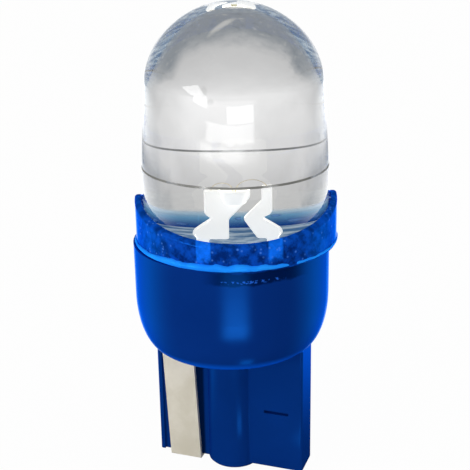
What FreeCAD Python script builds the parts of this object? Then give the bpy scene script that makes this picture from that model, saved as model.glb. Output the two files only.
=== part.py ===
import FreeCAD, Part
import math
import os

# Wedge base LED bulb, modelled in millimetres.
# The origin is the middle of the wedge's bottom face, +Z runs up to the dome, X is the wedge's width.
# The lamp, its collar and its lead frame are drawn in a frame of their own, with the lamp's underside
# at z = 0 and its axis at x = 0, and are then turned and shifted to where they are glued on the body.

# clear lamp
lens_radius = 5.15
dome_foot_height = 8.91
dome_rise = 4.95
side_taper = 0.25
flange_step = 0.06
flange_height = 4.6
side_foot_radius = lens_radius + side_taper
flange_radius = side_foot_radius + flange_step

# collar ring and its glue
glue_gap = 0.14
glue_below_rim = 0.12
collar_wall = 0.36
collar_side_height = 2.8
collar_front_height = 1.45
collar_back_height = 0.75
collar_lip_round = 0.2
collar_inner = flange_radius + glue_gap
collar_outer = collar_inner + collar_wall

# bead of glue round the collar's foot
bead_width = 0.2
bead_foot = 0.12
bead_height = 0.32
bead_break_at = -60.0
bead_break = 5.0

# wedge base
wedge_width = 9.5
wedge_thickness = 2.1
wedge_height = 8.15
wedge_edge_round = 0.15
pillar_share = 0.177
pillar_drop = 0.25
pillar_edge = 0.12
pillar_radius = pillar_share * wedge_width

# body shell
collar_overhang = 0.11
body_height = 6.5
body_wall = 0.85
body_round_in = 1.35
body_round_up = 3.25
floor_thickness = 1.2
cavity_fillet = 0.8
body_radius = collar_outer - collar_overhang
cavity_radius = body_radius - body_wall
cavity_floor_z = wedge_height + floor_thickness
body_top_z = wedge_height + body_height

# where the lamp is glued on the body
lamp_turn = 20.5
lamp_shift_x = 0.29
lamp_shift_y = 0.11

# contact strips, for the front one on the left wing
strip_thickness = 0.25
strip_proud = 0.1
strip_width = 2.05
strip_inset = 1.41
strip_lean = 0.38
strip_lip_height = 0.5
strip_corner = 0.1
hook_inset = 0.5
tail_width = 1.3
tail_set_back = 0.05
tongue_above_floor = 1.25
strip_top_x = strip_inset - wedge_width / 2
strip_foot_x = strip_top_x + strip_lean
strip_face_y = -wedge_thickness / 2 - strip_proud
strip_back_y = strip_face_y + strip_thickness
tail_face_y = strip_face_y + tail_set_back
hook_end_y = wedge_thickness / 2 - hook_inset
tongue_z = cavity_floor_z + tongue_above_floor

# room for the strips in the moulding
slot_clearance = 0.03
pocket_rib = 0.3
cut_over = 1.0

# nick moulded in each plain wing face
nick_inset = 1.67
nick_z = 3.8
nick_length = 1.55
nick_height = 0.18
nick_depth = 0.3

# series resistor, and the room above it for its bent wire
resistor_inset = 0.39
resistor_y = -0.55
resistor_radius = 0.75
resistor_stand = 0.4
resistor_wire = 0.2
resistor_bend = 0.35
resistor_headroom = 0.3
cap_radius = 0.85
cap_length = 0.45
cap_round = 0.11
resistor_x = -strip_top_x - resistor_inset
resistor_low_z = tongue_z + resistor_stand
wire_reach_z = body_top_z - resistor_headroom - resistor_wire
resistor_high_z = wire_reach_z - resistor_bend

# lead frame
sheet = 0.5
anvil_top = 3.45
anvil_left = -1.19
anvil_right = 0.53
anvil_nose = 0.4
neck_height = 1.8
neck_step = 0.27
neck_right = -0.29
neck_slope = 0.25
foot_height = 0.95
foot_bar = 0.35
post_left = 0.98
post_right = 1.35
post_top = 3.6
post_slope = 0.6
post_neck_left = 0.27
post_foot_left = 0.42
leg_left = -1.55
leg_right = 1.65
leg_width = 0.48
arm_above_tongue = 1.3
toe_gap = 0.05
leg_past_wire = 1.25

# cup and chip
cup_x = -0.07
cup_outer = 0.62
cup_outer_low = 0.46
cup_height = 0.8
cup_mouth = 0.52
cup_floor = 0.3
cup_depth = 0.38
pad_side = 0.36
pad_height = 0.04
chip_side = 0.3
chip_height = 0.12
chip_top = anvil_top - cup_depth + pad_height + chip_height
wire_radius = 0.03
wire_rise = 0.35
wire_bite = 0.06

solder_radius = 0.42
tolerance = 0.01

up = FreeCAD.Vector(0, 0, 1)
origin = FreeCAD.Vector(0, 0, 0)


def revolve(edges, angle):
    return Part.Face(Part.Wire(edges)).revolve(origin, up, angle)


def line(a, b):
    return Part.makeLine(FreeCAD.Vector(a[0], 0, a[1]), FreeCAD.Vector(b[0], 0, b[1]))


def chain(points):
    return [line(a, b) for a, b in zip(points, points[1:])]


def quarter(side, end):
    # a quarter ellipse from its side, where it runs upright, to its end, where it runs level
    pull = 0.5523
    points = [side, (side[0], side[1] + pull * (end[1] - side[1])),
              (end[0] + pull * (side[0] - end[0]), end[1]), end]
    curve = Part.BezierCurve()
    curve.setPoles([FreeCAD.Vector(x, 0, z) for x, z in points])
    return curve.toShape()


def block(x0, x1, y0, y1, z0, z1):
    corner = FreeCAD.Vector(x0, y0, z0)
    return Part.makeBox(x1 - x0, y1 - y0, z1 - z0, corner)


def plate(points, y_front, thickness):
    # flat sheet with the given outline in the XZ plane
    corners = [FreeCAD.Vector(x, y_front, z) for x, z in points]
    outline = Part.makePolygon(corners + corners[:1])
    return Part.Face(outline).extrude(FreeCAD.Vector(0, thickness, 0))


def half_turn(shape):
    other = shape.copy()
    other.rotate(origin, up, 180)
    return other


def on_body(shape):
    # from the lamp's own frame to where the lamp is glued on the body
    placed = shape.copy()
    placed.rotate(origin, up, lamp_turn)
    placed.translate(FreeCAD.Vector(lamp_shift_x, lamp_shift_y, body_top_z))
    return placed


def on_body_point(x, y, z):
    # the same move for a point that is given by its height on the body
    turn = math.radians(lamp_turn)
    px = x * math.cos(turn) - y * math.sin(turn) + lamp_shift_x
    py = x * math.sin(turn) + y * math.cos(turn) + lamp_shift_y
    return FreeCAD.Vector(px, py, z)


def largest_solid(shape):
    return max(shape.Solids, key=lambda solid: solid.Volume)


# The cup: a turned outside that rounds in to the flat underside, and a hollow with a filleted floor.
def make_cup():
    low_radius = body_radius - body_round_in
    round_z = wedge_height + body_round_up
    edges = [quarter((body_radius, round_z), (low_radius, wedge_height))]
    edges += chain([(low_radius, wedge_height), (0, wedge_height), (0, body_top_z), (body_radius, body_top_z),
                    (body_radius, round_z)])
    outside = revolve(edges, 360)
    cavity = Part.makeCylinder(cavity_radius, body_top_z - cavity_floor_z, up * cavity_floor_z)
    low_rim = [e for e in cavity.Edges
               if e.BoundBox.ZMax < cavity_floor_z + tolerance and e.Length > cavity_radius]
    return outside.cut(cavity.makeFillet(cavity_fillet, low_rim))


# The wedge: a flat plate with a round pillar through its middle, both run up into the cup's floor.
def make_wedge():
    half = wedge_width / 2
    deep = wedge_thickness / 2
    top = wedge_height + floor_thickness / 2
    wings = block(-half, half, -deep, deep, 0, top)
    upright = [e for e in wings.Edges if abs(e.BoundBox.ZLength - top) < tolerance]
    wings = wings.makeFillet(wedge_edge_round, upright)
    pillar = Part.makeCylinder(pillar_radius, top + pillar_drop, up * -pillar_drop)
    foot = [e for e in pillar.Edges if e.BoundBox.ZMax < -pillar_drop + tolerance]
    return wings.fuse(pillar.makeChamfer(pillar_edge, foot))


# What the front strip needs in the moulding: a shallow pocket in the wing, beside the pillar,
# a slot for the lip of the strip's hook, and a slot through the cup's floor for its tail.
def make_strip_room():
    outer = pocket_rib - wedge_width / 2
    pocket = block(outer, 0, strip_face_y - cut_over, strip_back_y, -cut_over, wedge_height)
    pillar = Part.makeCylinder(pillar_radius, wedge_height + 2 * cut_over, up * -cut_over)
    left = strip_foot_x - strip_width / 2 - slot_clearance
    right = strip_foot_x + strip_width / 2 + slot_clearance
    lip = block(left, right, hook_end_y - strip_thickness - slot_clearance, hook_end_y + slot_clearance,
                -cut_over, strip_lip_height + slot_clearance)
    tail_left = strip_top_x - tail_width / 2 - slot_clearance
    tail_right = strip_top_x + tail_width / 2 + slot_clearance
    above = tongue_z + slot_clearance
    tail = block(tail_left, tail_right, tail_face_y - slot_clearance, strip_back_y,
                 wedge_height - cut_over, above)
    tongue = block(tail_left, tail_right, strip_back_y, slot_clearance - strip_face_y,
                   tongue_z - strip_thickness - slot_clearance, above)
    return pocket.cut(pillar).fuse(lip).fuse(tail).fuse(tongue)


def make_nick():
    front = -wedge_thickness / 2
    x0 = wedge_width / 2 - nick_inset - nick_length / 2
    z0 = nick_z - nick_height / 2
    return block(x0, x0 + nick_length, front - cut_over, front + nick_depth, z0, z0 + nick_height)


def make_base_body():
    body = make_cup().fuse(make_wedge())
    for room in (make_strip_room(), make_nick()):
        body = body.cut(room).cut(half_turn(room))
    return body.removeSplitter()


# The front contact: one bent strip, hooked under the wing at its foot. Its narrower tail is pressed
# back a little to pass the slot in the cup's floor, and is folded over inside.
def make_contact():
    half = strip_width / 2
    low = -strip_thickness
    foot_left = strip_foot_x - half
    foot_right = strip_foot_x + half
    tail_left = strip_top_x - tail_width / 2
    tail_right = strip_top_x + tail_width / 2
    outline = [(foot_left, low), (foot_right, low), (strip_top_x + half, wedge_height),
               (strip_top_x - half, wedge_height)]
    strip = plate(outline, strip_face_y, strip_thickness)
    hook = block(foot_left, foot_right, strip_face_y, hook_end_y, low, 0)
    lip = block(foot_left, foot_right, hook_end_y - strip_thickness, hook_end_y, low, strip_lip_height)
    tail = block(tail_left, tail_right, tail_face_y, strip_back_y, wedge_height, tongue_z)
    tongue = block(tail_left, tail_right, tail_face_y, -strip_face_y, tongue_z - strip_thickness, tongue_z)
    contact = strip.fuse(hook).fuse(lip).fuse(tail).fuse(tongue).removeSplitter()
    bend = [e for e in contact.Edges
            if e.BoundBox.ZMax < low + tolerance and e.BoundBox.YMax < strip_face_y + tolerance
            and e.Length > half]
    return contact.makeFillet(strip_corner, bend)


# The clear lamp: a slightly flattened dome, a tapered side and the flange it is glued by.
def make_lens_blank():
    dome_top = dome_foot_height + dome_rise
    side = [(0, dome_top), (0, 0), (flange_radius, 0), (flange_radius, flange_height),
            (side_foot_radius, flange_height), (lens_radius, dome_foot_height)]
    return revolve(chain(side) + [quarter((lens_radius, dome_foot_height), (0, dome_top))], 360)


# Everything under the collar's rim: two sloping planes that meet in a ridge from side to side.
def make_under_rim(drop):
    # the planes run out past the collar
    over = 1.5
    reach = collar_outer * over
    side = collar_side_height - drop
    front_end = side - (collar_side_height - collar_front_height) * over
    back_end = side - (collar_side_height - collar_back_height) * over
    outline = [(-reach, 0), (-reach, front_end), (0, side), (reach, back_end), (reach, 0)]
    corners = [FreeCAD.Vector(-reach, y, z) for y, z in outline]
    face = Part.Face(Part.makePolygon(corners + corners[:1]))
    return face.extrude(FreeCAD.Vector(2 * reach, 0, 0))


def is_rim_edge(edge, radius):
    middle = edge.valueAt((edge.FirstParameter + edge.LastParameter) / 2)
    outside = abs(math.hypot(middle.x, middle.y) - radius) < tolerance
    slopes = edge.BoundBox.ZLength > tolerance and edge.Length > radius
    return outside and slopes


def make_collar():
    ring = Part.makeCylinder(collar_outer, collar_side_height)
    ring = ring.cut(Part.makeCylinder(collar_inner, collar_side_height)).common(make_under_rim(0))
    rim = [e for e in ring.Edges if is_rim_edge(e, collar_outer)]
    return ring.makeFillet(collar_lip_round, rim)


# The glue that sets the lamp's flange in the collar.
def make_lamp_glue():
    outer = Part.makeCylinder(collar_inner, collar_side_height)
    inner = Part.makeCylinder(flange_radius, collar_side_height)
    return outer.cut(inner).common(make_under_rim(glue_below_rim))


# The bead of glue squeezed out along the joint, in the corner of ring and body, broken in one place.
def make_seam_bead():
    bulge = FreeCAD.Vector(collar_outer + bead_width, 0, bead_height / 2)
    foot = FreeCAD.Vector(collar_outer + bead_foot, 0, 0)
    arc = Part.Arc(foot, bulge, FreeCAD.Vector(collar_outer, 0, bead_height))
    edges = [arc.toShape()]
    edges += chain([(collar_outer, bead_height), (collar_outer, 0), (collar_outer + bead_foot, 0)])
    bead = revolve(edges, 360 - bead_break)
    bead.rotate(origin, up, bead_break_at + bead_break / 2)
    return bead


def toe_x():
    # the toe's middle, over the inner edge of the front contact's tongue
    tongue_edge = strip_top_x + tail_width / 2
    return (tongue_edge - lamp_shift_x) / math.cos(math.radians(lamp_turn))


# The lead that carries the chip: an anvil with a pressed cup, a neck, a foot and a bent leg.
def make_cathode_lead():
    neck_left = anvil_left + neck_step
    inner = leg_left + leg_width
    foot_low = foot_height - foot_bar
    reach = toe_x() - leg_width / 2
    toe_low = tongue_z + toe_gap - body_top_z
    arm_top = tongue_z + arm_above_tongue - body_top_z
    arm_low = arm_top - leg_width
    outline = [(anvil_left, anvil_top), (anvil_right, anvil_top), (anvil_right, anvil_top - anvil_nose),
               (neck_right, neck_height), (neck_right, foot_low), (inner, foot_low), (inner, arm_low),
               (reach + leg_width, arm_low), (reach + leg_width, toe_low), (reach, toe_low),
               (reach, arm_top), (leg_left, arm_top), (leg_left, foot_height), (neck_left, neck_height),
               (anvil_left, neck_height + neck_slope)]
    lead = plate(outline, -sheet / 2, sheet)
    cup_foot = FreeCAD.Vector(cup_x, 0, anvil_top - cup_height)
    mouth_foot = FreeCAD.Vector(cup_x, 0, anvil_top - cup_depth)
    cup = Part.makeCone(cup_outer_low, cup_outer, cup_height, cup_foot)
    mouth = Part.makeCone(cup_floor, cup_mouth, cup_depth, mouth_foot)
    return lead.fuse(cup).cut(mouth).removeSplitter()


# The lead that takes the bond wire: a post that leans over the gap, a neck, a foot and a leg.
def make_anode_lead():
    inner = leg_right - leg_width
    foot_low = foot_height - foot_bar
    leg_end = wire_reach_z - leg_past_wire - body_top_z
    outline = [(post_left, post_top), (post_right, post_top), (post_right, neck_height + neck_slope),
               (post_left, neck_height), (leg_right, foot_height), (leg_right, leg_end),
               (inner, leg_end), (inner, foot_low), (post_foot_left, foot_low),
               (post_neck_left, neck_height), (post_left, anvil_top - post_slope)]
    return plate(outline, -sheet / 2, sheet)


def make_chip_pad():
    low = anvil_top - cup_depth
    half = pad_side / 2
    return block(cup_x - half, cup_x + half, -half, half, low, low + pad_height)


def make_chip():
    half = chip_side / 2
    return block(cup_x - half, cup_x + half, -half, half, chip_top - chip_height, chip_top)


# A bond wire looped from the chip to a lead.
def make_bond_wire(start_x, start_z, end_x, end_z):
    top = max(start_z, end_z) + wire_rise
    mid = FreeCAD.Vector((start_x + end_x) / 2, 0, top)
    start = FreeCAD.Vector(start_x, 0, start_z)
    end = FreeCAD.Vector(end_x, 0, end_z)
    loop = Part.Arc(start, mid, end).toShape()
    along = loop.tangentAt(loop.FirstParameter)
    ring = Part.Wire(Part.Circle(start, along, wire_radius).toShape())
    return Part.Wire(loop).makePipeShell([ring], True, True)


# The resistor stands upright in the hollow body.
def make_resistor_core():
    foot = FreeCAD.Vector(resistor_x, resistor_y, resistor_low_z + cap_length)
    return Part.makeCylinder(resistor_radius, resistor_high_z - cap_length - foot.z, foot)


def make_resistor_cap(z):
    cap = Part.makeCylinder(cap_radius, cap_length, FreeCAD.Vector(resistor_x, resistor_y, z))
    return cap.makeFillet(cap_round, cap.Edges)


# The upper wire bends over to butt against the anode leg.
def make_upper_wire():
    target = on_body_point(leg_right - leg_width / 2, -sheet / 2, wire_reach_z)
    start = FreeCAD.Vector(resistor_x, resistor_y, resistor_high_z)
    along = FreeCAD.Vector(target.x - resistor_x, target.y - resistor_y, 0).normalize()
    half_way = math.radians(45)
    mid = start + along * resistor_bend * (1 - math.cos(half_way)) + up * resistor_bend * math.sin(half_way)
    turned = start + (along + up) * resistor_bend
    turn = Part.Arc(start, mid, turned).toShape()
    reach = Part.makeLine(turned, target)
    ring = Part.Wire(Part.Circle(start, up, resistor_wire).toShape())
    return Part.Wire([turn, reach]).makePipeShell([ring], True, True)


def make_lower_wire():
    foot = FreeCAD.Vector(resistor_x, resistor_y, tongue_z)
    return Part.makeCylinder(resistor_wire, resistor_stand, foot)


# A drop of solder: a whole ball round two wires, or a dome on a contact's tongue.
def make_solder(point, lowest_angle, around):
    drop = Part.makeSphere(solder_radius, point, up, lowest_angle, 90, 360)
    for piece in around:
        drop = drop.cut(piece)
    return largest_solid(drop)


def make_parts():
    parts = {}
    parts["base_body"] = make_base_body()
    parts["collar_ring"] = on_body(make_collar())
    parts["lamp_glue"] = on_body(make_lamp_glue())
    parts["seam_bead"] = on_body(make_seam_bead())
    parts["contact_front"] = make_contact()
    parts["contact_rear"] = half_turn(make_contact())
    cathode = on_body(make_cathode_lead())
    anode = on_body(make_anode_lead())
    pad = on_body(make_chip_pad())
    chip = on_body(make_chip())
    post_x = (post_left + post_right) / 2
    anvil_x = (anvil_left + cup_x - cup_outer) / 2
    wire_to_post = on_body(make_bond_wire(cup_x + wire_bite, chip_top, post_x, post_top))
    wire_to_anvil = on_body(make_bond_wire(cup_x - wire_bite, chip_top, anvil_x, anvil_top))
    wire_to_post = largest_solid(wire_to_post.cut(anode).cut(chip).cut(cathode))
    wire_to_anvil = largest_solid(wire_to_anvil.cut(cathode).cut(chip))
    lens = on_body(make_lens_blank())
    for inside in (cathode, anode, pad, chip, wire_to_post, wire_to_anvil):
        lens = lens.cut(inside)
    parts["lamp_lens"] = largest_solid(lens)
    parts["cathode_lead"] = cathode
    parts["anode_lead"] = anode
    parts["chip_pad"] = pad
    parts["led_chip"] = chip
    parts["bond_wire_post"] = wire_to_post
    parts["bond_wire_anvil"] = wire_to_anvil
    parts["resistor_core"] = make_resistor_core()
    parts["resistor_cap_low"] = make_resistor_cap(resistor_low_z)
    parts["resistor_cap_high"] = make_resistor_cap(resistor_high_z - cap_length)
    upper_wire = largest_solid(make_upper_wire().cut(anode))
    lower_wire = make_lower_wire()
    parts["resistor_wire_high"] = upper_wire
    parts["resistor_wire_low"] = lower_wire
    anode_joint = on_body_point(leg_right - leg_width / 2, -sheet / 2, wire_reach_z)
    toe_joint = on_body_point(toe_x(), 0, tongue_z)
    foot_joint = FreeCAD.Vector(resistor_x, resistor_y, tongue_z)
    parts["solder_anode"] = make_solder(anode_joint, -90, [anode, upper_wire])
    parts["solder_front"] = make_solder(toe_joint, 0, [cathode])
    parts["solder_rear"] = make_solder(foot_joint, 0, [lower_wire, parts["resistor_cap_low"]])
    return parts


def main():
    os.makedirs("parts", exist_ok=True)
    for name, shape in make_parts().items():
        shape.exportStep("parts/" + name + ".step")


main()
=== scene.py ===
# %% [markdown]
# # Wedge base LED bulb
# The bulb is a clear cast lamp, glued into a scooped blue ring on a hollow blue moulding.
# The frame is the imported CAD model. This script dresses it: most pieces keep their CAD shape and
# get a finish made of nodes, and a few that need smoother or looser shapes are built again here.

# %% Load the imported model
import math

import bmesh
import bpy
from mathutils import Matrix, Vector, noise


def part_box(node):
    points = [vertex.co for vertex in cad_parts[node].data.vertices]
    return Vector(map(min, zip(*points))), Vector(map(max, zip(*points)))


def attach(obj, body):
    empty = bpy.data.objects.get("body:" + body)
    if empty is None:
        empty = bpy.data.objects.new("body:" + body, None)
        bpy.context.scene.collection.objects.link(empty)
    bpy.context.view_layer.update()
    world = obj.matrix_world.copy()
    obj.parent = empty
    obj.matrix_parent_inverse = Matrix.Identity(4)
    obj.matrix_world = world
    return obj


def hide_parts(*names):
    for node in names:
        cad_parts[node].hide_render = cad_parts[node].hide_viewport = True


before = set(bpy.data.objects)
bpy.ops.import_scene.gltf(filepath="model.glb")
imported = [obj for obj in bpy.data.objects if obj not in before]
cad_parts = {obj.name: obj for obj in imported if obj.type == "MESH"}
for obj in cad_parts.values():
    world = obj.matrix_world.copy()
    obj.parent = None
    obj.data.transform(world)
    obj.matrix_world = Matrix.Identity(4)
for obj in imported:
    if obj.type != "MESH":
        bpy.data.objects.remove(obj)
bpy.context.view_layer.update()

bpy.context.scene.view_settings.view_transform = "Standard"
MM = 0.001
print("pieces in the frame:", len(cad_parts))

# %% [markdown]
# ## Sizes shared with the CAD source
# The rebuilt pieces need the lamp's axis, its turn on the body and the heights of its steps.
# They are written once here, in millimetres and degrees, in the same frame as the CAD.

# %% Sizes of the lamp and its ring
body_top = 14.65
lamp_x, lamp_y = 0.29, 0.11
lamp_turn = 20.5  # of the lead frame, about the upright
lens_radius = 5.13  # where the dome starts
side_draft = 0.066  # what the radius gains on each mm down from there
flange_radius = 5.46
flange_low = body_top + 4.5
flange_high = body_top + 4.71
step_share = 0.62  # the part of that height that the step's slope takes
dome_foot = body_top + 9.41
dome_rise = 4.45
ring_outer = 5.96
print("dome top at", round(dome_foot + dome_rise, 2), "mm")


# %% [markdown]
# ## The camera
# The photograph was taken from close by, a little above the bulb, so the bulb narrows downwards.
# The camera is built from its azimuth, elevation and roll round a target on the bulb's axis.

# %% Camera at the photograph's angle
camera_azimuth, camera_elevation, camera_roll = 19.51, 19.077, -0.998
camera_distance = 59.801
target_height, target_shift = 14.765, 0.221
picture_pixels, focal_pixels = 470, 999.319
sensor_width = 36


def from_camera(across, away, height):
    """A point given from the camera's side: across to the right, away behind the axis, in mm."""
    a = math.radians(camera_azimuth)
    x = across * math.cos(a) - away * math.sin(a)
    y = across * math.sin(a) + away * math.cos(a)
    return Vector((x, y, height)) * MM


def make_camera():
    a, elevation, roll = (math.radians(v) for v in (camera_azimuth, camera_elevation, camera_roll))
    back = Vector((
        math.sin(a) * math.cos(elevation), -math.cos(a) * math.cos(elevation), math.sin(elevation),
    ))
    level = (-back).cross(Vector((0, 0, 1))).normalized()
    steep = level.cross(-back)
    right = math.cos(roll) * level + math.sin(roll) * steep
    up = math.cos(roll) * steep - math.sin(roll) * level
    target = Vector((0, 0, target_height * MM)) + level * target_shift * MM
    data = bpy.data.cameras.new("camera")
    data.sensor_width = sensor_width
    data.lens = sensor_width * focal_pixels / picture_pixels
    data.clip_start, data.clip_end = 0.001, 10
    camera = bpy.data.objects.new("camera", data)
    bpy.context.scene.collection.objects.link(camera)
    camera.matrix_world = Matrix((right, up, back)).transposed().to_4x4()
    camera.matrix_world.translation = target + back * (camera_distance * MM)
    bpy.context.scene.camera = camera
    return camera


camera = make_camera()
print("camera at", [round(v / MM, 1) for v in camera.matrix_world.translation], "mm")


# %% [markdown]
# ## Writing nodes as Python
# A finish is a tree of nodes. The first class wraps one socket, so that sums on it add Math
# nodes. The second makes any other node from its kind, its settings and its sockets, and has
# short names for the nodes that come up often.

# %% The wire and the finish
class Wire:
    """An output socket that takes part in sums."""

    def __init__(self, finish, socket):
        self.finish = finish
        self.socket = socket

    def __add__(self, other):
        return self.finish.maths("ADD", self, other)

    def __radd__(self, other):
        return self.finish.maths("ADD", other, self)

    def __sub__(self, other):
        return self.finish.maths("SUBTRACT", self, other)

    def __rsub__(self, other):
        return self.finish.maths("SUBTRACT", other, self)

    def __mul__(self, other):
        return self.finish.maths("MULTIPLY", self, other)

    def __rmul__(self, other):
        return self.finish.maths("MULTIPLY", other, self)


class Finish:
    """A material or a world, and its nodes."""

    def __init__(self, owner):
        owner.use_nodes = True
        self.owner = owner
        self.tree = owner.node_tree
        self.tree.nodes.clear()

    def node(self, kind, settings=None, sockets=None, out=0):
        made = self.tree.nodes.new(kind)
        for name, value in (settings or {}).items():
            if name == "stops":
                fill_ramp(made.color_ramp, value)
            else:
                setattr(made, name, value)
        for name, value in (sockets or {}).items():
            if isinstance(value, Wire):
                self.tree.links.new(value.socket, made.inputs[name])
            else:
                made.inputs[name].default_value = value
        return Wire(self, made.outputs[out]) if len(made.outputs) else made

    def maths(self, operation, a, b=0.0):
        return self.node("ShaderNodeMath", {"operation": operation}, {0: a, 1: b})

    def mix(self, share, first, second):
        """Two colours mixed."""
        return self.node("ShaderNodeMix", {"data_type": "RGBA"}, {0: share, 6: first, 7: second}, out=2)

    def blend(self, share, first, second):
        """Two shaders mixed."""
        return self.node("ShaderNodeMixShader", None, {0: share, 1: first, 2: second})

    def principled(self, sockets):
        return self.node("ShaderNodeBsdfPrincipled", None, sockets)

    def glow(self, colour, strength):
        return self.node("ShaderNodeEmission", None, {"Color": colour, "Strength": strength})

    def done(self, shader):
        """The finish, with this shader on its output."""
        self.node("ShaderNodeOutputMaterial", None, {"Surface": shader})
        return self.owner

    def ray(self, kind):
        """1 for one kind of ray and 0 for the others."""
        return self.node("ShaderNodeLightPath", out=kind)

    def place(self):
        return self.node("ShaderNodeTexCoord", out="Object")

    def parts(self, vector):
        """The x, y and z of a vector."""
        split = self.node("ShaderNodeSeparateXYZ", None, {0: vector}).socket.node
        return [Wire(self, socket) for socket in split.outputs]

    def noise(self, scale, detail=3.0, roughness=0.5, where=None):
        return self.node("ShaderNodeTexNoise", None, {
            "Vector": where or self.place(), "Scale": scale, "Detail": detail, "Roughness": roughness,
        }, out="Fac")

    def cells(self, scale):
        """The distance from the middle of the nearest cell."""
        return self.node("ShaderNodeTexVoronoi", {"feature": "F1"}, {
            "Vector": self.place(), "Scale": scale,
        }, out="Distance")

    def band(self, value, low, high):
        """0 below low, 1 above high, and a smooth rise between."""
        return self.node("ShaderNodeMapRange", {"interpolation_type": "SMOOTHSTEP"}, {
            "Value": value, "From Min": low, "From Max": high,
        })

    def between(self, value, low, rise, fall, high):
        """1 from rise to fall, 0 below low and above high, and smooth slopes."""
        return self.band(value, low, rise) * (1 - self.band(value, fall, high))

    def blot(self, u, v, centre_u, centre_v, wide, deep, soft):
        """1 in the middle of an ellipse and 0 outside it, with a soft edge."""
        a = (u - centre_u) * (1 / wide)
        b = (v - centre_v) * (1 / deep)
        return 1 - self.band(self.maths("SQRT", a * a + b * b), 1 - soft, 1 + soft)

    def bump(self, height, strength, distance):
        return self.node("ShaderNodeBump", None, {
            "Height": height, "Strength": strength, "Distance": distance,
        })


def fill_ramp(ramp, stops):
    while len(ramp.elements) < len(stops):
        ramp.elements.new(0.5)
    for element, (position, colour) in zip(ramp.elements, stops):
        element.position = position
        element.color = colour


def new_finish(name):
    return Finish(bpy.data.materials.new(name))


def rgb(red, green, blue):
    """A colour given as 0 to 255, as the linear value that a socket takes."""
    def linear(value):
        share = value / 255
        return share / 12.92 if share <= 0.04045 else ((share + 0.055) / 1.055) ** 2.4
    return (linear(red), linear(green), linear(blue), 1.0)


white = (1, 1, 1, 1)


def turned_axes(f, turn=lamp_turn):
    """A point in mm, on axes turned about the upright: all of it, then across, away and up."""
    spot = f.node("ShaderNodeMapping", {"vector_type": "TEXTURE"}, {
        "Vector": f.place(), "Rotation": (0, 0, math.radians(turn)), "Scale": (MM, MM, MM),
    })
    return spot, *f.parts(spot)


print("node helpers ready")


# %% [markdown]
# ## Floor, room and light
# The bulb stands on a white table in a white room. The camera sees that table plain. Rays that
# have passed the lamp or mirror off the part see it with more on it, drawn by the map below:
# through the lamp it is grey close by, a painted shadow of the bulb, and pale far off, and mirrors
# see pale cards and sheets that lie on it, as a photographer lays them round a glossy thing; they
# glow for mirrors only, as painted reflections. They are set out from the camera's side and stay
# where they are, whichever way the part is looked at.

# %% The table as the lamp and the mirrors see it
table_reach, table_height = 600, -0.32


def seen_through_lamp(f):
    """Grey close by, a painted shadow of the bulb, and pale far off, with wisps in the grey and two pale
    streaks that are painted highlights.
    """
    spot, across, away, _ = turned_axes(f, camera_azimuth)
    stir = f.noise(0.11, 4, 0.6, spot) - 0.5
    u = across + stir * 10
    v = away + stir * 13
    side = f.maths("ABSOLUTE", u)
    # Painted shadow of the bulb: grey close by, paler to the sides.
    near = f.mix(f.band(side, 20, 60), rgb(130, 136, 142), rgb(205, 206, 206))
    far = f.mix(f.band(v, 30, 110), rgb(192, 192, 192), rgb(246, 246, 246))
    start = f.band(side, 16, 28) * 10 + 28
    share = f.band(v, start, start + 15)
    tone = f.mix(share, near, far)
    wisps = f.noise(0.28, 4, 0.7, spot)
    dark_wisps = f.band(wisps, 0.44, 0.34) * (1 - share) * 0.35
    pale_wisps = f.band(wisps, 0.56, 0.68) * (1 - share) * 0.45
    tone = f.mix(dark_wisps, tone, rgb(96, 104, 112))
    tone = f.mix(pale_wisps, tone, rgb(190, 190, 186))
    # Painted highlights: two pale streaks.
    long_streak = f.blot(u - v * 0.75, v, -17.8, 27.5, 1.4, 3.4, 0.6) * 0.75
    faint_streak = f.blot(u + v * 0.3, v, -20, 17, 2, 4, 0.7) * 0.4
    return f.mix(long_streak + faint_streak, tone, rgb(200, 199, 194))


def cards_in_gloss(f, angle, far, stir):
    """Three cards and a narrow pane, painted reflections, by the angle round the bulb and the distance from
    it.
    """
    rough_angle, rough_far = angle + stir, far + stir
    crisp = f.between(angle, -10, -8, 22, 24) * f.between(far, 255, 258, 325, 332)
    soft = f.band(rough_angle, -38, -28) * (1 - f.band(angle, 21, 25))
    soft = soft * f.band(rough_far, 196, 206) * (1 - f.band(far, 250, 256)) * 0.8
    near = f.band(rough_angle, -54, -34) * (1 - f.band(angle, 2, 16))
    near = near * f.band(far, 158, 172) * (1 - f.band(rough_far, 186, 200)) * 0.7
    pane = f.between(angle, -52, -50, -34, -32) * f.band(far, 296, 304)
    return crisp + soft + near + pane


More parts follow.
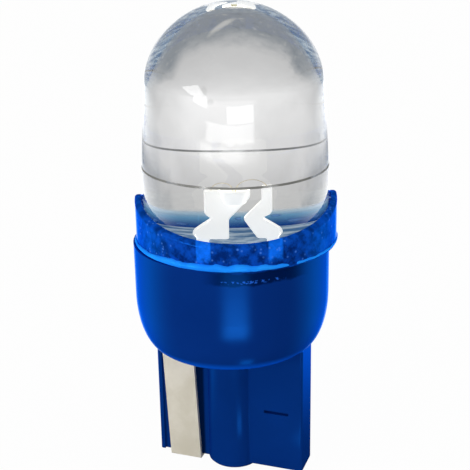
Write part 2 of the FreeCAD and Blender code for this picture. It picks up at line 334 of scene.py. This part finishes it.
def seen_in_gloss(f):
    """How bright the table is to a mirror: cards and sheets close by, and the pale room far off."""
    spot, across, away, _ = turned_axes(f, camera_azimuth)
    angle = f.maths("ARCTAN2", across, 0 - away) * math.degrees(1)
    turn = f.maths("ABSOLUTE", angle)
    far = f.maths("SQRT", across * across + away * away)
    stir = (f.noise(0.03, 3, 0.6, spot) - 0.5) * 26

    # Painted reflections: these glow for mirrors only.
    strip = f.between(angle, 7, 13, 22, 29) * f.between(far, 5.6, 6.6, 7.5, 10) * 2.5
    sheet = f.between(angle, -16, -3, 10, 22) * f.between(far, 17, 25, 26, 50) * 5
    sides = f.band(turn, 62, 112) * f.between(far, 4, 24, 60, 100) * 1.9
    shade = f.between(angle, 8, 20, 50, 80) * 0.7
    plain = (f.band(far, 75, 140) * 0.25 + 0.1) * (1 - shade)

    hall = f.between(angle + stir, -95, -52, 14, 34) * (1 - f.band(far, 320, 400)) * 2.0
    ahead = hall * f.band(far, 150, 180) + (1 - f.band(far, 190, 320)) * 0.4 + 1.1
    wall_end = 200 - f.band(turn, 84, 112) * 60
    wall = 1 - f.band(far, wall_end, wall_end + 50)
    to_the_side = hall * wall * 0.5 + wall * 1.35 + 0.55
    beside = f.band(turn, 55, 85)
    bright = ahead * (1 - beside) + to_the_side * beside
    paper = f.maths("MAXIMUM", f.band(far, 118, 170), beside * f.band(far, 84, 116))
    return strip + sheet + paper * bright + cards_in_gloss(f, angle, far, stir) * 4 + sides + plain


def table_finish():
    f = new_finish("white_table")
    plain = f.principled({"Base Color": (0.86, 0.86, 0.86, 1), "Roughness": 0.7})
    shown = f.blend(f.ray("Is Camera Ray") * 0.97, plain, f.glow(white, 1.0))
    shown = f.blend(f.ray("Is Glossy Ray"), shown, f.glow(white, seen_in_gloss(f)))
    shown = f.blend(f.ray("Is Transmission Ray"), shown, f.glow(seen_through_lamp(f), 1.0))
    return f.done(shown)


def make_table():
    """A square sheet just under the strips' hooks."""
    corners = [from_camera(x * table_reach, y * table_reach, table_height)
               for x, y in ((-1, -1), (1, -1), (1, 1), (-1, 1))]
    mesh = bpy.data.meshes.new("table")
    mesh.from_pydata([tuple(corner) for corner in corners], [], [(0, 1, 2, 3)])
    table = bpy.data.objects.new("table", mesh)
    bpy.context.scene.collection.objects.link(table)
    table.data.materials.append(table_finish())


make_table()


# %% The room
def make_room():
    """White all round. Mirrors see it greyer, brighter along the horizon, with one slanted window."""
    world = bpy.data.worlds.new("room")
    bpy.context.scene.world = world
    f = Finish(world)
    from_camera_side = f.node("ShaderNodeMapping", {"vector_type": "TEXTURE"}, {
        "Vector": f.node("ShaderNodeTexCoord", out="Generated"),
        "Rotation": (0, 0, math.radians(camera_azimuth)),
    })
    across, away, up = f.parts(from_camera_side)
    angle = f.maths("ARCTAN2", across, 0 - away) * math.degrees(1)
    lift = f.maths("ARCSINE", up) * math.degrees(1)
    right_of_left_edge = f.band(angle + lift * 1.47, -58.4, -57.2)
    left_of_right_edge = 1 - f.band(angle + lift * 0.77, -36.8, -35.6)
    under_top_edge = 1 - f.band(lift - angle * 0.301, 27.4, 28.0)
    window = right_of_left_edge * left_of_right_edge * under_top_edge
    horizon = 1 - f.band(lift, -1, 9)
    mirrored = window * 5 + horizon * 0.5 + 0.7
    seen = f.maths("MAXIMUM", f.ray("Is Camera Ray"), f.ray("Is Transmission Ray"))
    strength = f.node("ShaderNodeMix", {"data_type": "FLOAT"}, {
        0: f.ray("Is Glossy Ray"), 2: seen * 0.3 + 0.7, 3: mirrored,
    })
    room = f.node("ShaderNodeBackground", None, {"Color": white, "Strength": strength})
    f.node("ShaderNodeOutputWorld", None, {"Surface": room})


make_room()


def make_softbox(name, place, aim, width, height, radiance, turn):
    """An area light that no mirror and no lens shows; what they show is drawn on table and room."""
    data = bpy.data.lights.new(name, "AREA")
    data.shape = "RECTANGLE"
    data.size, data.size_y = width * MM, height * MM
    data.energy = radiance * math.pi * data.size * data.size_y
    box = bpy.data.objects.new(name, data)
    bpy.context.scene.collection.objects.link(box)
    box.location = place
    box.rotation_mode = "QUATERNION"
    towards = (aim - place).to_track_quat("-Z", "Y")
    box.rotation_quaternion = towards @ Matrix.Rotation(math.radians(turn), 3, "Z").to_quaternion()
    box.visible_camera = False
    box.visible_transmission = False
    box.visible_glossy = False


middle = Vector((0, 0, 20 * MM))
make_softbox("window", from_camera(-113, -98, 31), middle, width=70, height=48, radiance=6.0, turn=10)
print("table, room and window made")


# %% [markdown]
# ## Blue moulding
# The moulding is a deep blue clear plastic. What shows is a deep blue ground under a gloss that
# takes the colour of the plastic, so that edges seen along the surface turn bright blue. Painted
# shade darkens the pockets beside the strips, on both faces, a painted bright line of light runs
# round the foot of the cup, and the ground glows a little of its own. Below the bead in front runs
# a dark band, partly smeared glue and partly painted shade of the bead, with small drops in it.

# %% Finish of the moulding
def blue_gloss(f, ground, gloss_colour, roughness, normal, least=0.05):
    """A ground shader under a blue gloss that grows where the surface is seen edge on."""
    gloss = f.principled({
        "Base Color": gloss_colour, "Metallic": 1.0, "Roughness": roughness, "Normal": normal,
        "Specular Tint": (0.02, 0.36, 0.98, 1),
    })
    edge = f.node("ShaderNodeFresnel", None, {"IOR": 1.45, "Normal": normal})
    return f.done(f.blend(edge * 0.95 + least, ground, gloss))


def glue_smear_and_shade_below_bead(f, colour):
    """A dark band in front, partly smeared glue and partly painted shade of the bead, ragged at its edges,
    and the row of drops in it.
    """
    _, across, away, up = turned_axes(f)
    in_front = 1 - f.band(away, -2, 0)
    ragged = up + (f.noise(1100, 3, 0.6) - 0.5) * 0.5
    glue_smear_and_shade = f.between(ragged, 13.72, 13.9, 14.5, 14.62) * f.between(across, -1.9, -0.5, 3.4, 4.4)
    # Dark band below the bead: partly smeared glue, partly painted shade of the bead.
    colour = f.mix(glue_smear_and_shade * in_front * 0.85, colour, rgb(0, 16, 60))
    crumbs = f.band(f.noise(6200, 2, 0.5), 0.52, 0.6) * f.band(f.noise(500, 1), 0.36, 0.46)
    row = f.between(up, 13.88, 13.94, 14.04, 14.12) * f.between(across, -0.9, -0.6, 2.6, 3.0)
    return f.mix(crumbs * row * in_front * 0.8, colour, rgb(40, 104, 224))


def moulding_finish():
    f = new_finish("blue_moulding")
    x, y, z = (part * (1 / MM) for part in f.parts(f.place()))
    plate = f.mix(f.noise(260, 3), rgb(4, 42, 110), rgb(7, 52, 130))
    cup = f.mix(f.noise(220, 3), rgb(4, 40, 112), rgb(8, 50, 130))
    colour = f.mix(f.band(z, 7.0, 9.5), plate, cup)
    # The rear face is the front one turned half round, so x changes its sign there.
    side = x * (1 - f.band(y, -0.05, 0.05) * 2)
    # Painted shade: the pockets beside the strips are darkened, on both faces.
    pocket_shade = f.between(side, -2.45, -2.25, -1.8, -1.6) * (1 - f.band(z, 7.7, 8.2))
    colour = f.mix(pocket_shade * 0.92, colour, rgb(0, 10, 38))
    # Painted light: a bright line round the foot of the cup.
    foot_glow_line = f.between(z, 8.12, 8.2, 8.34, 8.9)
    colour = f.mix(foot_glow_line * 0.8, colour, rgb(4, 92, 222))
    colour = glue_smear_and_shade_below_bead(f, colour)
    rounded = f.node("ShaderNodeBevel", {"samples": 4}, {"Radius": 0.00008})
    normal = f.node("ShaderNodeBump", None, {
        "Height": f.noise(700, 3), "Strength": 0.12, "Distance": 0.00004, "Normal": rounded,
    })
    # The ground glows a little of its own: painted light.
    ground = f.principled({
        "Base Color": colour, "Roughness": 0.4, "Specular IOR Level": 0.0, "Normal": normal,
        "Emission Color": colour, "Emission Strength": 0.08,
    })
    return blue_gloss(f, ground, rgb(24, 124, 240), 0.2, normal)


def dress(name, material):
    """Give a CAD piece its finish; its shape stays as it is."""
    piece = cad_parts[name]
    piece.data.materials.clear()
    piece.data.materials.append(material)
    return piece


dress("base_body", moulding_finish())
print("moulding dressed")


# %% [markdown]
# ## Clear lamp
# The lamp is solid epoxy, so it bends light like a thick lens. Its CAD solid has the lead frame
# cut out of it, and two surfaces in one place confuse the light, so it is turned again here as
# one clean solid, and the lead frame simply stands in it.

# %% Turn the clear lamp
step_rings, side_rings, dome_rings, lens_sides = 12, 24, 96, 192
lens_lift = 0.03  # of its foot above the body


def mesh_piece(name, bm, smooth=True):
    """A new object from a finished bmesh, with its faces turned outwards."""
    bmesh.ops.recalc_face_normals(bm, faces=bm.faces)
    mesh = bpy.data.meshes.new(name)
    bm.to_mesh(mesh)
    bm.free()
    if smooth:
        mesh.polygons.foreach_set("use_smooth", [True] * len(mesh.polygons))
    piece = bpy.data.objects.new(name, mesh)
    bpy.context.scene.collection.objects.link(piece)
    return piece


def keep_edges(piece, degrees):
    split = piece.modifiers.new("edges", "EDGE_SPLIT")
    split.split_angle = math.radians(degrees)


def turned(name, profile, sides, centre=(lamp_x, lamp_y)):
    """A closed mesh turned from (radius, height) points in mm; a radius of 0 is one point."""
    bm = bmesh.new()
    rings = []
    for radius, height in profile:
        angles = [2 * math.pi * i / sides for i in range(sides)] if radius else [0]
        rings.append([
            bm.verts.new((
                (centre[0] + radius * math.cos(a)) * MM, (centre[1] + radius * math.sin(a)) * MM, height * MM,
            )) for a in angles
        ])
    for low, high in zip(rings, rings[1:]):
        for i in range(sides):
            j = (i + 1) % sides
            if len(low) == 1:
                bm.faces.new((low[0], high[j], high[i]))
            elif len(high) == 1:
                bm.faces.new((low[i], low[j], high[0]))
            else:
                bm.faces.new((low[i], low[j], high[j], high[i]))
    return mesh_piece(name, bm)


def make_lens():
    """The casting's outline: flange, a small step, a drafted side and the dome that grows out of it."""
    lens_foot = body_top + lens_lift
    profile = [(0, lens_foot), (flange_radius, lens_foot)]
    side_foot = lens_radius + side_draft * (dome_foot - flange_high)
    step_middle = (flange_low + flange_high) / 2
    for i in range(step_rings + 1):
        share = i / step_rings
        rise = share * share * (3 - 2 * share)
        profile.append((flange_radius + (side_foot - flange_radius) * rise,
                        step_middle + (flange_high - flange_low) * step_share * (share - 0.5)))
    for i in range(1, side_rings + 1):
        height = flange_high + (dome_foot - flange_high) * i / side_rings
        profile.append((lens_radius + side_draft * (dome_foot - height), height))
    for i in range(1, dome_rings):
        t = math.pi / 2 * i / dome_rings
        lift = dome_rise * math.sin(t)
        profile.append(((lens_radius - side_draft * lift) * math.cos(t), dome_foot + lift))
    profile.append((0, dome_foot + dome_rise))
    lens = turned("clear_lamp", profile, lens_sides)
    keep_edges(lens, 60)
    return lens


def epoxy(f, clear, roughness=0.0):
    return f.principled({
        "Base Color": clear, "Transmission Weight": 1.0, "IOR": 1.53, "Roughness": roughness,
    })


def dome_finish():
    """Clear epoxy, with two faint smudges in front."""
    f = new_finish("clear_epoxy")
    _, across, away, up = turned_axes(f)
    smudges = f.blot(across, up, -1.35, 24.38, 0.15, 0.24, 0.6)
    smudges = smudges + f.blot(across, up, -1.04, 23.86, 0.18, 0.13, 0.6)
    in_front = 1 - f.band(away, -1, 0)
    film = f.principled({"Base Color": rgb(96, 96, 94), "Roughness": 0.6})
    return f.done(f.blend(smudges * in_front * 0.12, epoxy(f, white), film))


def flange_finish():
    """Epoxy with a little haze, and blue glue that creeps up the back of it, pale where it is thin."""
    f = new_finish("hazy_flange")
    _, across, away, up = turned_axes(f)
    reach = f.band(f.maths("ABSOLUTE", across), 2, 5) * 0.6 + 16.0
    thick = f.band(up + (f.noise(900, 3) - 0.5) * 0.3, reach, reach - 1.35)
    colour = f.node("ShaderNodeValToRGB", {"stops": [
        (0.0, rgb(190, 198, 200)), (0.5, rgb(104, 154, 182)), (1.0, rgb(8, 56, 122)),
    ]}, {0: thick})
    # Painted light: the glue glows a little of its own.
    glue = f.principled({
        "Base Color": colour, "Roughness": 0.5, "Specular IOR Level": 0.0,
        "Emission Color": colour, "Emission Strength": 0.6,
    })
    behind = f.band(away, -1, 1)
    return f.done(f.blend(f.band(thick, 0.02, 0.2) * behind, epoxy(f, (0.93, 0.93, 0.92, 1)), glue))


def step_finish():
    """The rough step round the top of the flange, clearer here and there."""
    f = new_finish("mould_witness")
    rough = f.principled({
        "Base Color": f.mix(f.noise(900, 3), rgb(104, 104, 100), rgb(150, 150, 146)), "Roughness": 0.7,
        "Specular IOR Level": 0.0,
    })
    share = f.band(f.noise(420, 3), 0.38, 0.5) * 0.85 + 0.1
    return f.done(f.blend(share, epoxy(f, (0.8, 0.8, 0.8, 1), 0.2), rough))


def underside_finish():
    """The glued face under the lamp: grey blue with paler clouds of bubbles, glowing a little of its own as
    painted light.
    """
    f = new_finish("glued_underside")
    cloud = f.mix(f.band(f.noise(1500, 3), 0.35, 0.65), rgb(70, 104, 140), rgb(160, 176, 188))
    # Painted light: the face glows a little of its own.
    return f.done(f.principled({
        "Base Color": cloud, "Roughness": 0.5, "Specular IOR Level": 0.0,
        "Emission Color": cloud, "Emission Strength": 0.6,
    }))


lens = make_lens()
for material in (dome_finish(), underside_finish(), flange_finish(), step_finish()):
    lens.data.materials.append(material)
for face in lens.data.polygons:
    if face.center.z < (lens_lift + 0.02 + body_top) * MM:
        face.material_index = 1
    elif face.center.z < flange_low * MM:
        face.material_index = 2
    elif face.center.z < flange_high * MM:
        face.material_index = 3
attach(lens, "root")
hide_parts("lamp_lens")
print("lamp turned,", len(lens.data.polygons), "faces")


# %% [markdown]
# ## Ring, glue and bead
# The ring is thinner than the moulding. What would shine through it is painted light: the ring
# glows a little of its own, and the two legs of the lead frame glimmer bright behind it. They are
# drawn on the ring where the photograph shows them, and again on its other side. The glue between
# ring and lamp is full of small bubbles, and a bead of it stands out along the foot.

# %% Finish of the ring and the glue
def ring_finish():
    """Blue ring over bubbly glue: dark blotches, pale specks, and a painted glimmer of the two leads of the
    lead frame behind it.
    """
    f = new_finish("blue_ring")
    _, across, away, up = turned_axes(f)
    blotch = f.band(f.noise(1700, 4, 0.65), 0.34, 0.66)
    colour = f.mix(blotch, rgb(3, 34, 100), rgb(8, 68, 172))
    front_and_back = f.band(f.maths("ABSOLUTE", away), 3.6, 5)
    height = f.band(up + blotch * 0.2, 15.1, 15.6)
    left_leg_glimmer = f.between(across, -2.06, -1.96, -1.28, -1.16)
    right_leg_glimmer = f.between(across, 1.86, 2.02, 2.64, 2.8)
    # Painted light: the two legs glimmer bright blue through the ring, in front and behind.
    leg_glimmer = (left_leg_glimmer + right_leg_glimmer) * height * front_and_back
    colour = f.mix(leg_glimmer * (blotch * 0.3 + 0.55), colour, rgb(16, 116, 255))
    specks = (1 - f.band(f.cells(3300.0), 0.1, 0.3)) * f.band(f.noise(900, 2), 0.42, 0.6)
    colour = f.mix(specks * 0.45, colour, rgb(80, 140, 235))
    normal = f.bump(f.noise(900, 3), 0.2, 0.00003)
    # The ring glows a little of its own: painted light.
    ground = f.principled({
        "Base Color": colour, "Roughness": 0.3, "Specular IOR Level": 0.0, "Normal": normal,
        "Emission Color": colour, "Emission Strength": 0.25,
    })
    return blue_gloss(f, ground, rgb(24, 128, 255), 0.12, normal, 0.03)


def glue_finish():
    f = new_finish("bubbly_glue")
    bubble = 1 - f.band(f.cells(2600.0), 0.15, 0.4)
    return f.done(f.principled({
        "Base Color": f.mix(bubble, rgb(20, 90, 200), rgb(140, 190, 250)), "Roughness": 0.3,
        "Alpha": bubble * 0.6 + 0.1,
    }))


def bead_finish():
    f = new_finish("bead_glue")
    colour = f.mix(f.noise(1100, 2), rgb(12, 118, 250), rgb(40, 160, 255))
    normal = f.bump(f.noise(1500, 2), 0.3, 0.00005)
    # Painted light: the bead glows a little of its own.
    ground = f.principled({
        "Base Color": colour, "Roughness": 0.25, "Specular IOR Level": 0.0, "Normal": normal,
        "Emission Color": colour, "Emission Strength": 0.15,
    })
    return blue_gloss(f, ground, rgb(40, 150, 255), 0.1, normal)


dress("collar_ring", ring_finish())
dress("lamp_glue", glue_finish())

# %% Run the bead round the joint
bead_steps, bead_section = 420, 9
gap_from, gap_to = -42.0, -37.0  # the one break in the bead, in degrees from the x axis
bead_heights = [
    (-180, 0.2), (-95, 0.14), (-75, 0.2), (-50, 0.3), (-36, 0.36), (-10, 0.4), (8, 0.34), (20, 0.24),
    (27, 0.24), (33, 0.3), (38, 0.14), (90, 0.12), (120, 0.2), (180, 0.2),
]


def bead_size(turn):
    """Height of the bead at a turn from the photographed side: thick in the middle and to the left."""
    for (low, a), (high, b) in zip(bead_heights, bead_heights[1:]):
        if turn <= high:
            return a + (b - a) * ((turn - low) / (high - low))
    return bead_heights[-1][1]


def bead_row(bm, i):
    """One cross-section of the bead: a half round on the wall, narrowed towards the bead's ends."""
    angle = gap_to + (360 - (gap_to - gap_from)) * i / bead_steps
    turn = (angle + 90 - camera_azimuth + 180) % 360 - 180
    a = math.radians(angle)
    swell = noise.noise(Vector((math.cos(a) * 9, math.sin(a) * 9, 4.0)))
    ripple = noise.noise(Vector((math.cos(a) * 30, math.sin(a) * 30, 1.0)))
    tip = min(1.0, i / 5, (bead_steps - i) / 5)
    size = bead_size(turn) * (1 + 0.22 * swell + 0.14 * ripple) * (0.25 + 0.75 * math.sqrt(tip))
    wall = ring_outer + 0.005
    bulge = min(0.19, size * 0.5)
    middle_z = body_top + 0.12 + size * 0.28 + 0.04 * swell
    row = []
    for k in range(bead_section):
        t = math.radians(-90 + 180 * k / (bead_section - 1))
        r = wall + bulge * math.cos(t) ** 0.8 if abs(math.cos(t)) > 1e-6 else wall
        z = middle_z + size / 2 * math.sin(t)
        row.append(bm.verts.new(((lamp_x + r * math.cos(a)) * MM, (lamp_y + r * math.sin(a)) * MM, z * MM)))
    return row


def make_bead():
    """The bead squeezed out along the joint, run round by hand, so its size and edge wander."""
    bm = bmesh.new()
    rows = [bead_row(bm, i) for i in range(bead_steps + 1)]
    for low, high in zip(rows, rows[1:]):
        for k in range(bead_section):
            j = (k + 1) % bead_section
            bm.faces.new((low[k], high[k], high[j], low[j]))
    bm.faces.new(rows[0])
    bm.faces.new(list(reversed(rows[-1])))
    bead = mesh_piece("glue_bead", bm)
    keep_edges(bead, 60)
    return bead


bead = make_bead()
bead.data.materials.append(bead_finish())
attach(bead, "root")
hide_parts("seam_bead")
print("bead run round,", len(bead.data.polygons), "faces")


# %% [markdown]
# ## Metal pieces
# The lead frame is silver plated and bright. Inside the lamp it renders darker than the
# photograph shows it, so it gets some light of its own, the same all over. The contacts are tin
# plated and dull, with faint clouds.

# %% Finishes of the metal
def silver_finish():
    f = new_finish("silver_plate")
    colour = f.mix(f.noise(700, 3), rgb(240, 239, 232), rgb(255, 255, 253))
    return f.done(f.principled({
        "Base Color": colour, "Metallic": 0.1, "Roughness": f.noise(1200, 2) * 0.2 + 0.4,
        "Normal": f.bump(f.noise(1800, 3), 0.25, 0.00003),
        "Emission Color": colour, "Emission Strength": 0.68,
    }))


def tin_finish():
    f = new_finish("dull_tin")
    cloud = f.band(f.noise(450, 4, 0.6), 0.35, 0.7)
    return f.done(f.principled({
        "Base Color": f.mix(cloud, rgb(226, 219, 199), rgb(240, 234, 218)), "Metallic": 0.2,
        "Roughness": cloud * 0.12 + 0.5, "Normal": f.bump(f.noise(2500, 3), 0.15, 0.00003),
    }))


silver = silver_finish()
tin = tin_finish()
for name in ("contact_front", "contact_rear"):
    dress(name, tin)

# %% Stamp the lead frame and press its cup
lead_thickness = 0.5
easing_steps = 6  # straight bits in each eased corner
anvil_top = 3.45  # above the body
cup_x, cup_low, cup_floor, cup_sides = -0.07, 2.65, 3.07, 48


def lamp_point(across, away, height):
    """A point on the lead frame's own axes, from the lamp's axis and above the body, in mm."""
    a = math.radians(lamp_turn)
    return ((lamp_x + across * math.cos(a) - away * math.sin(a)) * MM,
            (lamp_y + across * math.sin(a) + away * math.cos(a)) * MM,
            (body_top + height) * MM)


def eased(corners):
    """An outline of (across, height, easing) corners, each one rounded off by its easing."""
    outline = []
    for i, (x, z, ease) in enumerate(corners):
        here = Vector((x, z))
        before = Vector(corners[i - 1][:2]) - here
        after = Vector(corners[(i + 1) % len(corners)][:2]) - here
        start, end = here + before.normalized() * ease, here + after.normalized() * ease
        for k in range(easing_steps + 1):
            t = k / easing_steps
            outline.append(start * (1 - t) ** 2 + here * 2 * t * (1 - t) + end * t * t)
    return outline


def make_lead(name, corners):
    """A lead stamped from sheet metal, with its edges a little rounded."""
    bm = bmesh.new()
    front, back = (
        [bm.verts.new(lamp_point(point.x, depth, point.y)) for point in eased(corners)]
        for depth in (-lead_thickness / 2, lead_thickness / 2)
    )
    bm.faces.new(front)
    bm.faces.new(list(reversed(back)))
    for i in range(len(front)):
        j = (i + 1) % len(front)
        bm.faces.new((front[j], front[i], back[i], back[j]))
    lead = mesh_piece(name, bm, smooth=False)
    rounded = lead.modifiers.new("stamped_edges", "BEVEL")
    rounded.width = 0.07 * MM
    rounded.segments = 3
    rounded.limit_method = "ANGLE"
    rounded.angle_limit = math.radians(60)
    lead.data.materials.append(silver)
    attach(lead, "root")
    return lead


cathode = make_lead("cathode_plate", [
    # the anvil's top, with the notch that the cup sits in
    (-1.19, anvil_top, 0.1), (cup_x - 0.5, anvil_top, 0.02), (cup_x - 0.3, cup_floor, 0.02),
    (cup_x + 0.3, cup_floor, 0.02), (cup_x + 0.5, anvil_top, 0.01), (0.53, anvil_top, 0.01),
    # down the right side to the foot and the leg, and along to the front strip
    (0.53, 3.05, 0.1), (-0.29, 1.8, 0.12), (-0.29, 0.6, 0.12), (-1.07, 0.6, 0.1),
    (-1.07, -3.23, 0.15), (-2.9415, -3.23, 0.1), (-2.9415, -4.0, 0.04), (-3.4215, -4.0, 0.04),
    (-3.4215, -2.75, 0.3), (-1.5, -2.75, 0.15),
    # up the left side, round the foot's bulge
    (-1.5, 0.55, 0.05), (-1.63, 0.72, 0.12), (-1.63, 1.02, 0.2), (-1.36, 1.34, 0.12),
    (-0.92, 1.8, 0.14), (-1.19, 2.05, 0.1),
])
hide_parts("cathode_lead")
leg_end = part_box("anode_lead")[0][2] / MM - body_top
anode = make_lead("anode_plate", [
    # the post, and down its right side round the foot's bulge
    (0.98, 3.6, 0.06), (1.35, 3.6, 0.06), (1.35, 2.05, 0.1), (0.98, 1.8, 0.14),
    (1.44, 1.34, 0.12), (1.72, 1.02, 0.2), (1.72, 0.72, 0.12), (1.6, 0.55, 0.05),
    # the leg, and up the left side
    (1.6, leg_end, 0.05), (1.17, leg_end, 0.05), (1.17, 0.6, 0.1), (0.82, 0.6, 0.14),
    (0.27, 1.8, 0.12), (0.98, 2.85, 0.1),
])
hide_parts("anode_lead")


def make_cup():
    """The cup for the chip, pressed into the anvil's notch: outside, rim, and inside to its floor."""
    low, top, floor = body_top + cup_low, body_top + anvil_top, body_top + cup_floor
    a = math.radians(lamp_turn)
    centre = (lamp_x + cup_x * math.cos(a), lamp_y + cup_x * math.sin(a))
    cup = turned("pressed_cup", [
        (0, low), (0.4, low), (0.46, low + 0.06), (0.615, top - 0.03), (0.6, top), (0.53, top),
        (0.3, floor), (0, floor),
    ], cup_sides, centre)
    cup.data.materials.append(silver)
    keep_edges(cup, 35)
    return cup


cup = make_cup()
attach(cup, "root")
print("leads stamped, the anode's leg ends", round(leg_end, 2), "mm from the body's top")


# %% Finishes of the small pieces inside
def plain_finish(name, first, second, scale, roughness, metallic=0.0):
    f = new_finish(name)
    return f.done(f.principled({
        "Base Color": f.mix(f.noise(scale, 3), first, second), "Roughness": roughness, "Metallic": metallic,
        "Normal": f.bump(f.noise(scale * 2, 2), 0.15, 0.00003),
    }))


dress("led_chip", plain_finish("chip_face", rgb(190, 190, 120), rgb(215, 210, 150), 6000, 0.3))
dress("chip_pad", plain_finish("silver_paste", rgb(170, 170, 165), rgb(205, 205, 200), 5000, 0.6))
gold = plain_finish("gold_wire", rgb(222, 206, 168), rgb(240, 228, 196), 3000, 0.3, 0.6)
for name in ("bond_wire_post", "bond_wire_anvil"):
    wire = dress(name, gold)
    thin = wire.modifiers.new("drawn_thin", "DISPLACE")
    thin.mid_level = 0
    thin.strength = -0.015 * MM
dress("resistor_core", plain_finish("resistor_coat", rgb(196, 172, 130), rgb(214, 190, 146), 900, 0.45))
cap = plain_finish("plated_cap", rgb(170, 170, 168), rgb(196, 196, 194), 900, 0.35, 1.0)
for name in ("resistor_cap_low", "resistor_cap_high"):
    dress(name, cap)
solder = plain_finish("solder", rgb(186, 188, 190), rgb(212, 214, 216), 1200, 0.3, 1.0)
for name in ("resistor_wire_high", "resistor_wire_low", "solder_anode", "solder_front", "solder_rear"):
    dress(name, solder)
print("small pieces dressed")
